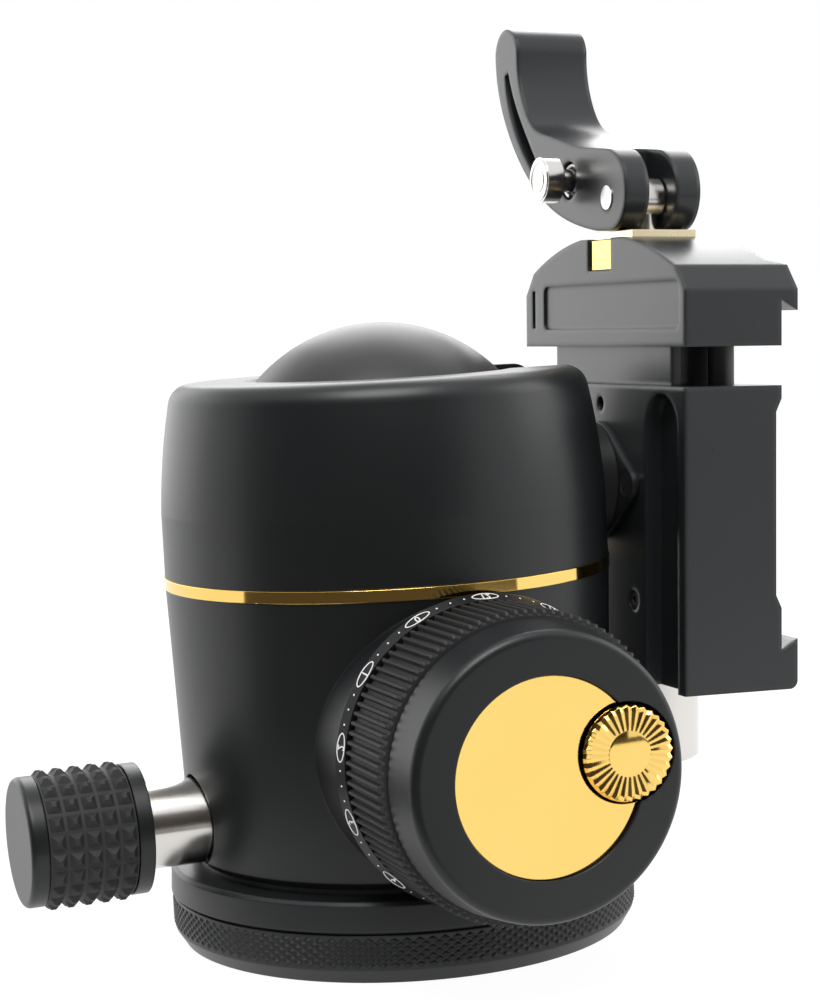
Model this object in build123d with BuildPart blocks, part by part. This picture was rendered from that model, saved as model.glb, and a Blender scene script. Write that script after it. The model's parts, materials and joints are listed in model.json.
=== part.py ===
from build123d import *
import os
from math import cos, radians, sin, sqrt

os.makedirs("parts", exist_ok=True)

# A tripod ball head, in millimetres. Z is up, the origin is the centre of the tripod
# thread in the base's underside, the main knob points along -Y, the pan knob along -X,
# and the ball's stem lies in the drop notch on the +X side with the clamp on its end.

# ---------------------------------------------------------------- clearances
run_gap = 0.05          # radial play of a shaft in its bore
face_gap = 0.05         # play between flat faces that slide on each other
seat_gap = 0.05         # play between the ball and its two seats
part_line = 0.1         # joint line between neighbouring rings of one knob
free_gap = 0.4          # room round a part that passes through without touching

# ---------------------------------------------------------------- pan base
base_ring_proud = 1.4   # plain ring of the base, outside the housing's top
base_ring_taper = 0.55
base_foot_inset = 1.25  # underside, inside the ring
base_knurl_inset = 0.25 # knurled grip band, inside the ring
base_knurl_z0 = 1.6
base_knurl_z1 = 5.4
base_line_h = 0.4       # fine groove above the knurl
base_line_depth = 0.4
base_h = 9.0
base_edge = 0.4
spigot_r = 16.0         # journal that the housing turns on
brake_groove_depth = 1.6
brake_groove_half_h = 2.6

insert_bore_r = 3.97    # 3/8"-16 thread, minor radius
insert_r = 8.0
insert_len = 11.0
insert_flange_r = 9.5
insert_flange_h = 1.5

washer_inner_gap = 1.1  # washer's bore outside the pan bush
washer_outer_inset = 0.3
washer_h = 0.6

retainer_overlap = 4.3  # retainer plate over the housing's floor
retainer_bore_r = 6.0
retainer_h = 1.5
retainer_screw_count = 4
retainer_screw_circle_r = 12.3
retainer_screw_r = 1.5
retainer_screw_head_r = 2.8
retainer_screw_head_h = 1.3
retainer_screw_len = 7.0
hex_socket_r = 1.15
hex_socket_depth = 1.0

# ---------------------------------------------------------------- housing
housing_foot_inset = 0.75
housing_low_inset = 1.15  # just above the foot chamfer, inside the top
housing_foot_h = 0.8
housing_wall = 4.35      # at the top
cavity_room = 1.1       # room round the ball's cup
floor_web = 0.4         # floor over the pan lock's thread
ledge_h = 1.9           # ledge that carries the wedge guide above the floor
ring_drop = 10.0        # brass ring below the ball's centre
ring_h = 1.3
ring_proud = 0.12
collar_rise = 13.2      # collar's top above the ball's centre
collar_shoulder_drop = 14.7  # where the collar starts to round in, below its top
collar_mid_inset = 0.6
collar_mid_drop = 7.7
collar_high_inset = 1.5
collar_high_drop = 2.2
collar_round_inset = 2.4
collar_round_drop = 0.6
collar_crown_inset = 4.15
collar_skirt_wall = 2.4
collar_skirt_len = 6.8
mouth_clearance = 0.25  # collar mouth round the ball
mouth_chamfer_w = 0.58
mouth_chamfer_h = 0.6
notch_root = 4.45       # the notch starts this far inside the mouth
seat_ring_w = 1.4       # outside the ball's equator
seat_ring_rise = 4.0    # above the ball's centre
seat_ring_h = 5.0
pan_bush_wall = 1.1
boss_room = 0.23        # round boss behind the main knob, below the brass ring
boss_proud = 1.25        # its face, outside the collar

# ---------------------------------------------------------------- ball and stem
ball_r = 19.2
ball_clearance = 3.6    # ball above the wedge's thin end
droop = 2.4             # degrees the stem hangs below level
stem_r = 7.0
stem_clear = 1.3        # the stem's end face stands this far outside the collar
stem_bore_r = 4.0
stem_bore_len = 10.7
spigot_spare = 0.25     # the flange's spigot stops this short of the bore's floor
flange_h = 1.0
flange_half_h = 7.1
lobe_r = 1.8
lobe_x = 8.6

# ---------------------------------------------------------------- ball clamping works
knob_rise = 6.47        # main knob's axis above the housing's floor
spindle_r = 4.0
spindle_thread_r = 3.0
spindle_back = 10.0     # threaded end beyond the pan axis
bush_r = 6.0
bush_room = 0.3         # spindle bush's inner end clear of the pan retainer
clip_r = 4.6
clip_h = 0.8
guide_h = 1.3
wedge_half_w = 6.0
wedge_half_len = 8.0
wedge_over_spindle = 0.83
wedge_slope = 0.15
wedge_travel = 1.1
cup_rim_w = 1.1         # outside the ball's equator
cup_top_drop = 8.5      # below the ball's centre
cup_skirt_wall = 2.8
cup_skirt_drop = 0.2    # below the wedge's thin end
cup_spring_h = 1.8

# ---------------------------------------------------------------- main knob, places t along -Y
dial_gap = 0.2          # behind the dial ring
dial_h = 1.2
grip_r = 16.3
grip_wall = 3.1
grip_len = 9.9
dial_back_proud = 0.7   # outside the grip
dial_front_proud = 0.1
cap_h = 5.4
cap_inset = 0.75        # inside the grip
cap_taper = 0.7
cap_neck_depth = 0.55
cap_neck_len = 0.3
cap_fillet = 0.9
disc_r = 10.3
disc_h = 0.9
disc_sink = 0.55        # the disc's face lies below the cap's rim
spindle_nose_web = 2.3  # core in front of the spindle's nose
knob_screw_r = 1.5
knob_screw_head_r = 3.0
knob_screw_head_h = 3.0
knob_screw_len = 12.0

tension_r = 5.0
tension_circle_r = 8.7  # from the knob's axis
tension_angle = 10.5    # degrees above the +X direction
tension_head_h = 4.1
tension_proud = 0.5     # in front of the cap
tension_gap = 0.3
tension_shank_r = 1.5
tension_shank_len = 10.1
stop_half_w = 3.0
stop_h = 2.4
stop_inset = 2.0        # from the shank's end
stop_room = 0.3

# ---------------------------------------------------------------- pan lock, places t along -X
pan_web = 0.5           # housing below the pan shaft
pan_shaft_r = 4.85
pan_recess_floor = 0.8  # outside the cavity
pan_thread_r = 2.5
pan_thread_inset = 0.7  # from the pan bush
pan_pad_r = 2.4
pan_pad_len = 1.5
pan_pad_travel = 0.3
pan_shaft_show = 6.85   # shaft between the housing and the knob
pan_collar_h = 1.7
pan_grip_r = 7.5
pan_grip_wall = 1.6
pan_grip_len = 9.95
pan_collar_inset = 0.15  # inside the grip
pan_cap_h = 2.05
pan_cap_inset = 0.25
pan_cap_fillet = 0.6
pan_shaft_nose = 1.2    # the shaft ends this far short of the cap's face

# ---------------------------------------------------------------- quick-release clamp
# u runs along the stem from the ball's centre, c up across it, b along +Y.
clamp_thick = 12.44
clamp_half_w = 21.35
lip_h = 2.1
lip_overhang = 1.2
lip_depth = 5.2
body_bottom_c = -23.4
body_top_c = 11.5
relief_depth = 0.7
relief_slope = 1.5
relief_c0 = -12.5
relief_c1 = 8.5
corner_round = 1.0

jaw_gap = 4.5
jaw_travel = 1.8
jaw_height = 13.2       # from the parting gap to the crest
jaw_lip_c = 4.0         # lip tip above the jaw's lower face
jaw_side_h = 6.4
jaw_shoulder_b = 19.0
jaw_shoulder_drop = 4.0
jaw_seat_drop = 0.3     # flat on the crest under the wear plate

tongue_u0 = 1.5         # measured from the underside
tongue_u1 = 9.6
tongue_half_w = 12.4
tongue_rib_half_w = 15.4
tongue_rib_h = 1.4
tongue_len = 9.0
pocket_gap = 0.1
pocket_half_w = 16.9
pocket_spare = 0.3

pin_r = 1.5             # guide pins
pin_b = 15.2
pin_u = 8.05
pin_root = 8.5
pin_reach = 7.3         # beyond the jaw's lower face
pin_bore_end = 9.3

spring_b = 7.0
spring_coil_r = 1.5
spring_wire_r = 0.3
spring_hole_r = 2.1
spring_seat_c = 12.0
spring_turns = 6

rod_u = 6.0
rod_r = 1.6
rod_room = 0.3
eye_r = 2.4
eye_h = 3.2
pivot_r = 1.45
pivot_proud = 0.1

nut_r = 6.35
nut_len = 10.5
nut_chamfer = 0.5
nut_gap = 0.1

mount_screw_r = 1.25
mount_screw_head_r = 2.3
mount_screw_head_h = 2.0
mount_screw_sink = 1.2

set_screw_b = 8.6
set_screw_c = -13.7
set_screw_r = 1.2
set_screw_len = 3.0
eyelet_c = 9.2
eyelet_r = 0.9
eyelet_depth = 2.0

scallop_r = 3.95
scallop_b = 15.65
scallop_top_c = 10.7
scallop_depth = 2.0

tab_b0 = -3.0
tab_b1 = 3.2
tab_c0 = 25.1
tab_h = 1.3
tab_sink = 0.2
tab_slot_depth = 1.6
tab_gap = 0.1

panel_b0 = -20.0
panel_b1 = 16.0
panel_c0 = 18.1
panel_c1 = 23.5
panel_depth = 0.3
panel_round = 0.8
slot_b = 19.0
slot_w = 0.8
slot_c0 = 18.3
slot_c1 = 23.0
slot_depth = 1.0

wear_plate_half_w = 5.0
wear_plate_u0 = 1.9
wear_plate_u1 = 10.3
wear_plate_h = 0.9

# ---------------------------------------------------------------- lever
lever_u0 = 1.0          # from the clamp's underside
lever_thick = 10.0
lever_turn = 165.0      # degrees from open to closed
cam_r0 = 3.95           # pivot to the wear plate when open
fork_gap = 3.6
fork_b = 3.0
cam_steps = 12
slot_cut_depth = 2.5
# Edges of the curved handle and of its long slot, as places from the pivot.
lever_top = [(2.8, 6.1), (8.3, 6.7), (15.4, 8.4), (21.2, 10.2), (24.4, 13.8), (26.0, 20.4)]
lever_tip = [(29.7, 23.5), (32.9, 20.6)]
lever_low = [(32.2, 16.2), (28.9, 10.0), (23.2, 4.1), (16.2, -0.3), (8.2, -2.9), (2.6, -3.85)]
slot_outer = [(29.9, 17.6), (27.6, 11.1), (22.4, 5.2), (17.4, 1.1)]
slot_inner = [(18.0, 3.0), (21.1, 6.8), (25.5, 12.0), (28.8, 17.9)]

plunger_b = 10.6
plunger_up = 2.7        # above the pivot
plunger_head_r = 2.8
plunger_head_h = 2.2
plunger_reach = 4.0     # head face to lever face
plunger_shank_r = 1.4
plunger_shank_len = 9.0
plunger_spring_r = 1.9
plunger_spring_wire_r = 0.25
plunger_spring_seat = 3.4
plunger_spring_len = 3.4
plunger_spring_turns = 4
plunger_pocket_r = 2.4
plunger_bore_spare = 2.4

# ---------------------------------------------------------------- worked-out places
cup_r = ball_r + cup_rim_w
cup_skirt_inner_r = cup_r - cup_skirt_wall
cavity_r = cup_r + cavity_room
housing_high_r = cavity_r + housing_wall
housing_low_r = housing_high_r - housing_low_inset
housing_foot_r = housing_low_r - housing_foot_inset
base_ring_r = housing_high_r + base_ring_proud
base_ring_top_r = base_ring_r - base_ring_taper
base_knurl_r = base_ring_r - base_knurl_inset
base_foot_r = base_ring_r - base_foot_inset
collar_r = housing_high_r
collar_mid_r = collar_r - collar_mid_inset
collar_high_r = collar_r - collar_high_inset
collar_round_r = collar_r - collar_round_inset
collar_crown_r = collar_r - collar_crown_inset
collar_bore_r = ball_r + seat_ring_w
collar_skirt_r = collar_bore_r + collar_skirt_wall
pan_bush_r = spigot_r + pan_bush_wall
washer_inner_r = pan_bush_r + washer_inner_gap
washer_outer_r = housing_foot_r - washer_outer_inset
retainer_r = spigot_r + retainer_overlap

housing_z0 = base_h + washer_h + face_gap
pan_z = housing_z0 + pan_web + pan_shaft_r
floor_top = pan_z + pan_thread_r + floor_web
knob_z = floor_top + knob_rise
wedge_thin_z = knob_z + spindle_thread_r + wedge_over_spindle
cup_skirt_top_z = wedge_thin_z - cup_skirt_drop
ball_z = wedge_thin_z + ball_clearance + ball_r
cup_top_z = ball_z - cup_top_drop
seat_ring_z = ball_z + seat_ring_rise
ring_z = ball_z - ring_drop
collar_top_z = ball_z + collar_rise
collar_shoulder_z = collar_top_z - collar_shoulder_drop
collar_mid_z = collar_top_z - collar_mid_drop
collar_high_z = collar_top_z - collar_high_drop
collar_round_z = collar_top_z - collar_round_drop
boss_r = ring_z - knob_z - boss_room

boss_t = collar_r + boss_proud
bush_inner_t = retainer_r + bush_room
dial_t0 = boss_t + dial_gap
dial_t1 = dial_t0 + dial_h
core_t1 = dial_t1 + grip_len
cap_t1 = core_t1 + cap_h
spindle_nose_t = core_t1 - spindle_nose_web
tension_t1 = cap_t1 + tension_proud
tension_t0 = tension_t1 - tension_head_h
tension_shank_t0 = tension_t0 - tension_shank_len
stop_t0 = tension_shank_t0 + stop_inset
core_r = grip_r - grip_wall
dial_back_r = grip_r + dial_back_proud
dial_front_r = grip_r + dial_front_proud
cap_r = grip_r - cap_inset
cap_front_r = cap_r - cap_taper
cap_neck_r = cap_r - cap_neck_depth

pan_shaft_recess_t = cavity_r + pan_recess_floor
pan_thread_t0 = pan_bush_r + pan_thread_inset
pan_collar_t0 = housing_low_r + pan_shaft_show
pan_collar_t1 = pan_collar_t0 + pan_collar_h
pan_grip_t1 = pan_collar_t1 + pan_grip_len
pan_cap_t1 = pan_grip_t1 + pan_cap_h
pan_core_r = pan_grip_r - pan_grip_wall
pan_collar_r = pan_grip_r - pan_collar_inset
pan_cap_r = pan_grip_r - pan_cap_inset

stem_len = collar_r + stem_clear
clamp_u0 = stem_len + face_gap + flange_h
spigot_top = floor_top + 2 * face_gap
retainer_top = spigot_top + retainer_h
guide_z = floor_top + ledge_h
guide_top = guide_z + guide_h
ledge_r = retainer_r + free_gap
ring_top = ring_z + ring_h
brake_groove_r = spigot_r - brake_groove_depth
clamp_u1 = clamp_u0 + clamp_thick
lip_u = clamp_u1 + lip_h
jaw_c0 = body_top_c + jaw_gap
jaw_crest_c = jaw_c0 + jaw_height
wear_seat_c = jaw_crest_c - jaw_seat_drop
tongue_c1 = body_top_c + tongue_len
pocket_c1 = tongue_c1 + jaw_travel + pocket_spare
wear_top_c = wear_seat_c + wear_plate_h
pivot_c = wear_top_c + face_gap + cam_r0
cam_lift = jaw_travel / radians(lever_turn)

spindle_plane = Plane(origin=(0, 0, knob_z), x_dir=(1, 0, 0), z_dir=(0, 0, -1))
spindle_axis = Axis((0, 0, knob_z), (0, 1, 0))
pan_profile = Plane(origin=(0, 0, pan_z), x_dir=(0, 0, 1), z_dir=(0, 1, 0))
pan_axis = Axis((0, 0, pan_z), (1, 0, 0))
stem_dir = Vector(cos(radians(droop)), 0, -sin(radians(droop)))
rise_dir = Vector(sin(radians(droop)), 0, cos(radians(droop)))
ball_centre = (0, 0, ball_z)
clamp_plane = Plane(origin=ball_centre, x_dir=(0, 1, 0), z_dir=stem_dir)
end_plane = Plane(origin=ball_centre, x_dir=stem_dir, z_dir=(0, -1, 0))
bed_plane = Plane(origin=ball_centre, x_dir=stem_dir, z_dir=rise_dir)


def knob_face(place):
    """Plane square to the main knob's axis, facing out, at this distance from the pan axis."""
    return Plane(origin=(0, -place, knob_z), x_dir=(1, 0, 0), z_dir=(0, -1, 0))


def pan_face(place):
    """Plane square to the pan knob's axis, facing out, at this distance from the pan axis."""
    return Plane(origin=(-place, 0, pan_z), x_dir=(0, -1, 0), z_dir=(-1, 0, 0))


def under(depth):
    """Plane parallel to the clamp's underside, this far above it."""
    return clamp_plane.offset(clamp_u0 + depth)


def ball_ring_r(sphere_r, height):
    """Radius of the circle that a plane at this height cuts from a sphere round the ball's centre."""
    return sqrt(sphere_r**2 - (height - ball_z) ** 2)


mouth_low_r = ball_ring_r(ball_r + mouth_clearance, collar_top_z - mouth_chamfer_h)
mouth_chamfer_r = mouth_low_r + mouth_chamfer_w


def save(part, name):
    """Label a finished piece and write it under its own name."""
    part.part.label = name
    export_step(part.part, f"parts/{name}.step")


# ================================================================ base
with BuildPart() as pan_base:
    with BuildSketch(Plane.XZ):
        with BuildLine():
            Polyline(
                (0, 0),
                (base_foot_r, 0),
                (base_knurl_r, base_knurl_z0),
                (base_knurl_r, base_knurl_z1),
                (base_knurl_r - base_line_depth, base_knurl_z1),
                (base_knurl_r - base_line_depth, base_knurl_z1 + base_line_h),
                (base_ring_r, base_knurl_z1 + base_line_h),
                (base_ring_top_r + base_edge, base_h - base_edge),
                (base_ring_top_r, base_h),
                (spigot_r, base_h),
                (spigot_r, spigot_top),
                (0, spigot_top),
                close=True,
            )
        make_face()
    revolve(axis=Axis.Z)
    with BuildSketch():
        Circle(insert_r)
    extrude(amount=spigot_top, mode=Mode.SUBTRACT)
    with BuildSketch(Plane.XY.offset(insert_len)):
        Circle(insert_flange_r)
    extrude(amount=spigot_top - insert_len, mode=Mode.SUBTRACT)
    with BuildSketch(Plane.XZ):
        with BuildLine():
            Polyline(
                (brake_groove_r, pan_z),
                (spigot_r, pan_z + brake_groove_half_h),
                (spigot_r, pan_z - brake_groove_half_h),
                close=True,
            )
        make_face()
    revolve(axis=Axis.Z, mode=Mode.SUBTRACT)
    with BuildSketch(Plane.XY.offset(spigot_top)):
        with PolarLocations(retainer_screw_circle_r, retainer_screw_count):
            Circle(retainer_screw_r)
    extrude(amount=retainer_h - retainer_screw_len, mode=Mode.SUBTRACT)
save(pan_base, "pan_base")

with BuildPart() as tripod_thread_insert:
    with BuildSketch():
        Circle(insert_r)
    extrude(amount=insert_len)
    with BuildSketch(Plane.XY.offset(insert_len)):
        Circle(insert_flange_r)
    extrude(amount=insert_flange_h)
    with BuildSketch():
        Circle(insert_bore_r)
    extrude(amount=insert_len + insert_flange_h, mode=Mode.SUBTRACT)
save(tripod_thread_insert, "tripod_thread_insert")

with BuildPart() as pan_bearing_washer:
    with BuildSketch(Plane.XY.offset(base_h)):
        Circle(washer_outer_r)
        Circle(washer_inner_r, mode=Mode.SUBTRACT)
    extrude(amount=washer_h)
save(pan_bearing_washer, "pan_bearing_washer")

with BuildPart() as pan_retainer:
    with BuildSketch(Plane.XY.offset(spigot_top)):
        Circle(retainer_r)
        Circle(retainer_bore_r, mode=Mode.SUBTRACT)
    extrude(amount=retainer_h)
    with Locations(Plane.XY.offset(retainer_top)):
        with PolarLocations(retainer_screw_circle_r, retainer_screw_count):
            CounterSinkHole(retainer_screw_r, retainer_screw_head_r, depth=retainer_h)
save(pan_retainer, "pan_retainer")

with BuildPart() as retainer_screws:
    with BuildSketch(Plane.XY.offset(retainer_top - retainer_screw_len)):
        with PolarLocations(retainer_screw_circle_r, retainer_screw_count):
            Circle(retainer_screw_r)
    extrude(amount=retainer_screw_len)
    with Locations(Plane.XY.offset(retainer_top - retainer_screw_head_h / 2)):
        with PolarLocations(retainer_screw_circle_r, retainer_screw_count):
            Cone(retainer_screw_r, retainer_screw_head_r, retainer_screw_head_h)
    with BuildSketch(Plane.XY.offset(retainer_top)):
        with PolarLocations(retainer_screw_circle_r, retainer_screw_count):
            RegularPolygon(hex_socket_r, 6)
    extrude(amount=-hex_socket_depth, mode=Mode.SUBTRACT)
save(retainer_screws, "retainer_screws")

# ================================================================ housing
with BuildPart() as lower_housing:
    with BuildSketch(Plane.XZ):
        with BuildLine():
            Polyline(
                (0, housing_z0),
                (housing_foot_r, housing_z0),
                (housing_low_r, housing_z0 + housing_foot_h),
                (housing_high_r, ring_z),
                (0, ring_z),
                close=True,
            )
        make_face()
    revolve(axis=Axis.Z)
    with BuildSketch(knob_face(0)):
        Circle(boss_r)
    extrude(amount=boss_t)
    split(bisect_by=Plane.XY.offset(housing_z0), keep=Keep.TOP)
    with BuildSketch(Plane.XY.offset(housing_z0)):
        Circle(pan_bush_r)
    extrude(amount=floor_top - housing_z0, mode=Mode.SUBTRACT)
    with BuildSketch(Plane.XY.offset(floor_top)):
        Circle(ledge_r)
    extrude(amount=ledge_h, mode=Mode.SUBTRACT)
    with BuildSketch(Plane.XY.offset(guide_z)):
        Circle(cavity_r)
    extrude(amount=ring_z - guide_z, mode=Mode.SUBTRACT)
    with BuildSketch(Plane.XY.offset(ring_top - collar_skirt_len - face_gap)):
        Circle(collar_skirt_r)
    extrude(amount=collar_skirt_len, mode=Mode.SUBTRACT)
    with BuildSketch(knob_face(cavity_r / 2)):
        Circle(bush_r)
    extrude(amount=boss_t, mode=Mode.SUBTRACT)
    with BuildSketch(pan_face(spigot_r)):
        Circle(pan_thread_r + run_gap)
    extrude(amount=cavity_r, mode=Mode.SUBTRACT)
    with BuildSketch(pan_face(pan_shaft_recess_t)):
        Circle(pan_shaft_r + free_gap)
    extrude(amount=cavity_r, mode=Mode.SUBTRACT)
save(lower_housing, "lower_housing")

with BuildPart() as brass_ring:
    with BuildSketch(Plane.XY.offset(ring_z)):
        Circle(collar_r + ring_proud)
        Circle(collar_skirt_r, mode=Mode.SUBTRACT)
    extrude(amount=ring_h)
save(brass_ring, "brass_ring")

with BuildPart() as upper_collar:
    with BuildSketch(Plane.XZ):
        with BuildLine():
            Polyline(
                (collar_crown_r, collar_top_z),
                (0, collar_top_z),
                (0, ring_top - collar_skirt_len),
                (collar_skirt_r, ring_top - collar_skirt_len),
                (collar_skirt_r, ring_top),
                (collar_r, ring_top),
                (collar_r, collar_shoulder_z),
            )
            ThreePointArc(
                (collar_r, collar_shoulder_z),
                (collar_mid_r, collar_mid_z),
                (collar_high_r, collar_high_z),
            )
            ThreePointArc(
                (collar_high_r, collar_high_z),
                (collar_round_r, collar_round_z),
                (collar_crown_r, collar_top_z),
            )
        make_face()
    revolve(axis=Axis.Z)
    with BuildSketch(Plane.XY.offset(ring_top - collar_skirt_len)):
        Circle(collar_bore_r)
    extrude(amount=seat_ring_z + seat_ring_h - ring_top + collar_skirt_len, mode=Mode.SUBTRACT)
    with Locations(ball_centre):
        Sphere(ball_r + mouth_clearance, mode=Mode.SUBTRACT)
    with Locations((0, 0, collar_top_z - mouth_chamfer_h / 2)):
        Cone(
            mouth_low_r,
            mouth_chamfer_r,
            mouth_chamfer_h,
            mode=Mode.SUBTRACT,
        )
    with BuildSketch(clamp_plane.offset(mouth_chamfer_r - notch_root)):
        Circle(stem_r + free_gap)
        Rectangle(2 * (stem_r + free_gap), collar_r, align=(Align.CENTER, Align.MIN))
    extrude(amount=collar_r, mode=Mode.SUBTRACT)
save(upper_collar, "upper_collar")

with BuildPart() as upper_seat_ring:
    with BuildSketch(Plane.XY.offset(seat_ring_z)):
        Circle(collar_bore_r)
    extrude(amount=seat_ring_h)
    with Locations(ball_centre):
        Sphere(ball_r + seat_gap, mode=Mode.SUBTRACT)
    with BuildSketch(Plane.XY.offset(seat_ring_z)):
        Rectangle(collar_r, 2 * (stem_r + 2 * free_gap), align=(Align.MIN, Align.CENTER))
    extrude(amount=seat_ring_h, mode=Mode.SUBTRACT)
save(upper_seat_ring, "upper_seat_ring")

with BuildPart() as pan_bush:
    with BuildSketch(Plane.XY.offset(housing_z0)):
        Circle(pan_bush_r)
        Circle(spigot_r + run_gap, mode=Mode.SUBTRACT)
    extrude(amount=floor_top - housing_z0)
    with BuildSketch(pan_face(brake_groove_r)):
        Circle(pan_pad_r + run_gap)
    extrude(amount=cavity_r - brake_groove_r, mode=Mode.SUBTRACT)
save(pan_bush, "pan_bush")

with BuildPart() as spindle_bush:
    with BuildSketch(knob_face(bush_inner_t)):
        Circle(bush_r)
        Circle(spindle_r + run_gap, mode=Mode.SUBTRACT)
    extrude(amount=boss_t - bush_inner_t)
save(spindle_bush, "spindle_bush")

with BuildPart() as wedge_guide_plate:
    with BuildSketch(Plane.XY.offset(guide_z)):
        Circle(cavity_r)
        with Locations((0, free_gap + clip_h + part_line - bush_inner_t)):
            Rectangle(2 * cavity_r, cavity_r, align=(Align.CENTER, Align.MAX), mode=Mode.SUBTRACT)
    extrude(amount=guide_h)
save(wedge_guide_plate, "wedge_guide_plate")

# ================================================================ ball clamping works
cup_skirt_z = guide_top + cup_spring_h
wedge_thick_z = wedge_thin_z + 2 * wedge_half_len * wedge_slope
channel_len = 2 * wedge_half_len + wedge_travel + free_gap

with BuildPart() as clamp_cup:
    with BuildSketch(Plane.XY.offset(cup_skirt_z)):
        Circle(cup_r)
    extrude(amount=cup_top_z - cup_skirt_z)
    with Locations(ball_centre):
        Sphere(ball_r + seat_gap, mode=Mode.SUBTRACT)
    with BuildSketch(Plane.XY.offset(cup_skirt_z)):
        Circle(cup_skirt_inner_r)
    extrude(amount=cup_skirt_top_z - cup_skirt_z, mode=Mode.SUBTRACT)
    with BuildSketch(Plane.YZ):
        with BuildLine():
            Polyline(
                (-wedge_half_len, cup_skirt_z),
                (channel_len - wedge_half_len, cup_skirt_z),
                (channel_len - wedge_half_len, wedge_thin_z + face_gap + channel_len * wedge_slope),
                (-wedge_half_len, wedge_thin_z + face_gap),
                close=True,
            )
        make_face()
    extrude(amount=wedge_half_w + free_gap, both=True, mode=Mode.SUBTRACT)
    with BuildSketch(knob_face(wedge_half_len)):
        Circle(clip_r + free_gap)
        Rectangle(2 * (clip_r + free_gap), cup_r, align=(Align.CENTER, Align.MAX))
    extrude(amount=cup_r, mode=Mode.SUBTRACT)
    with BuildSketch(knob_face(-wedge_half_len)):
        Circle(spindle_thread_r + free_gap)
    extrude(amount=-cup_r, mode=Mode.SUBTRACT)
save(clamp_cup, "clamp_cup")

with BuildPart() as cup_spring_washer:
    with BuildSketch(Plane.XY.offset(guide_top)):
        Circle(cup_r - part_line)
        Circle(cup_skirt_inner_r + part_line, mode=Mode.SUBTRACT)
        Rectangle(2 * (clip_r + free_gap), cup_r, align=(Align.CENTER, Align.MAX), mode=Mode.SUBTRACT)
    extrude(amount=cup_spring_h - face_gap)
save(cup_spring_washer, "cup_spring_washer")

with BuildPart() as wedge_block:
    with BuildSketch(Plane.YZ):
        with BuildLine():
            Polyline(
                (-wedge_half_len, guide_top + face_gap),
                (wedge_half_len, guide_top + face_gap),
                (wedge_half_len, wedge_thick_z),
                (-wedge_half_len, wedge_thin_z),
                close=True,
            )
        make_face()
    extrude(amount=wedge_half_w, both=True)
    with BuildSketch(knob_face(-wedge_half_len)):
        Circle(spindle_thread_r + run_gap)
    extrude(amount=2 * wedge_half_len, mode=Mode.SUBTRACT)
save(wedge_block, "wedge_block")

# ================================================================ main knob
with BuildPart() as main_spindle:
    with BuildSketch(knob_face(-spindle_back)):
        Circle(spindle_thread_r)
    extrude(amount=spindle_back + spindle_nose_t)
    with BuildSketch(knob_face(bush_inner_t)):
        Circle(spindle_r)
    extrude(amount=dial_t1 - bush_inner_t)
    with BuildSketch(knob_face(spindle_nose_t)):
        Circle(knob_screw_r)
    extrude(amount=core_t1 - spindle_nose_t - knob_screw_len, mode=Mode.SUBTRACT)
save(main_spindle, "main_spindle")

with BuildPart() as spindle_clip:
    with BuildSketch(knob_face(bush_inner_t - part_line - clip_h)):
        Circle(clip_r)
        Circle(spindle_thread_r, mode=Mode.SUBTRACT)
        Rectangle(spindle_thread_r, clip_r, align=(Align.CENTER, Align.MAX), mode=Mode.SUBTRACT)
    extrude(amount=clip_h)
save(spindle_clip, "spindle_clip")

tension_x = tension_circle_r * cos(radians(tension_angle))
tension_y = tension_circle_r * sin(radians(tension_angle))

with BuildPart() as knob_core:
    with BuildSketch(knob_face(dial_t0)):
        Circle(core_r)
    extrude(amount=core_t1 - dial_t0)
    with BuildSketch(knob_face(dial_t0)):
        Circle(spindle_r)
    extrude(amount=dial_t1 - dial_t0, mode=Mode.SUBTRACT)
    with BuildSketch(knob_face(dial_t1)):
        Circle(spindle_thread_r)
    extrude(amount=spindle_nose_t - dial_t1, mode=Mode.SUBTRACT)
    with BuildSketch(knob_face(spindle_nose_t)):
        Circle(knob_screw_r)
    extrude(amount=core_t1 - spindle_nose_t, mode=Mode.SUBTRACT)
    with BuildSketch(knob_face(dial_t0)):
        with Locations((tension_x, tension_y)):
            Rectangle(2 * (stop_half_w + stop_room), 2 * (stop_half_w + stop_room))
    extrude(amount=spindle_nose_t - dial_t0, mode=Mode.SUBTRACT)
    with BuildSketch(knob_face(spindle_nose_t)):
        with Locations((tension_x, tension_y)):
            Circle(tension_shank_r + run_gap)
    extrude(amount=core_t1 - spindle_nose_t, mode=Mode.SUBTRACT)
save(knob_core, "knob_core")

with BuildPart() as dial_ring:
    with BuildSketch(spindle_plane):
        with BuildLine():
            Polyline(
                (core_r, dial_t0),
                (dial_back_r, dial_t0),
                (dial_front_r, dial_t1),
                (core_r, dial_t1),
                close=True,
            )
        make_face()
    revolve(axis=spindle_axis)
save(dial_ring, "dial_ring")

with BuildPart() as knob_grip:
    with BuildSketch(knob_face(dial_t1 + part_line)):
        Circle(grip_r)
        Circle(core_r, mode=Mode.SUBTRACT)
    extrude(amount=core_t1 - dial_t1 - 2 * part_line)
save(knob_grip, "knob_grip")

disc_t1 = cap_t1 - disc_sink

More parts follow.
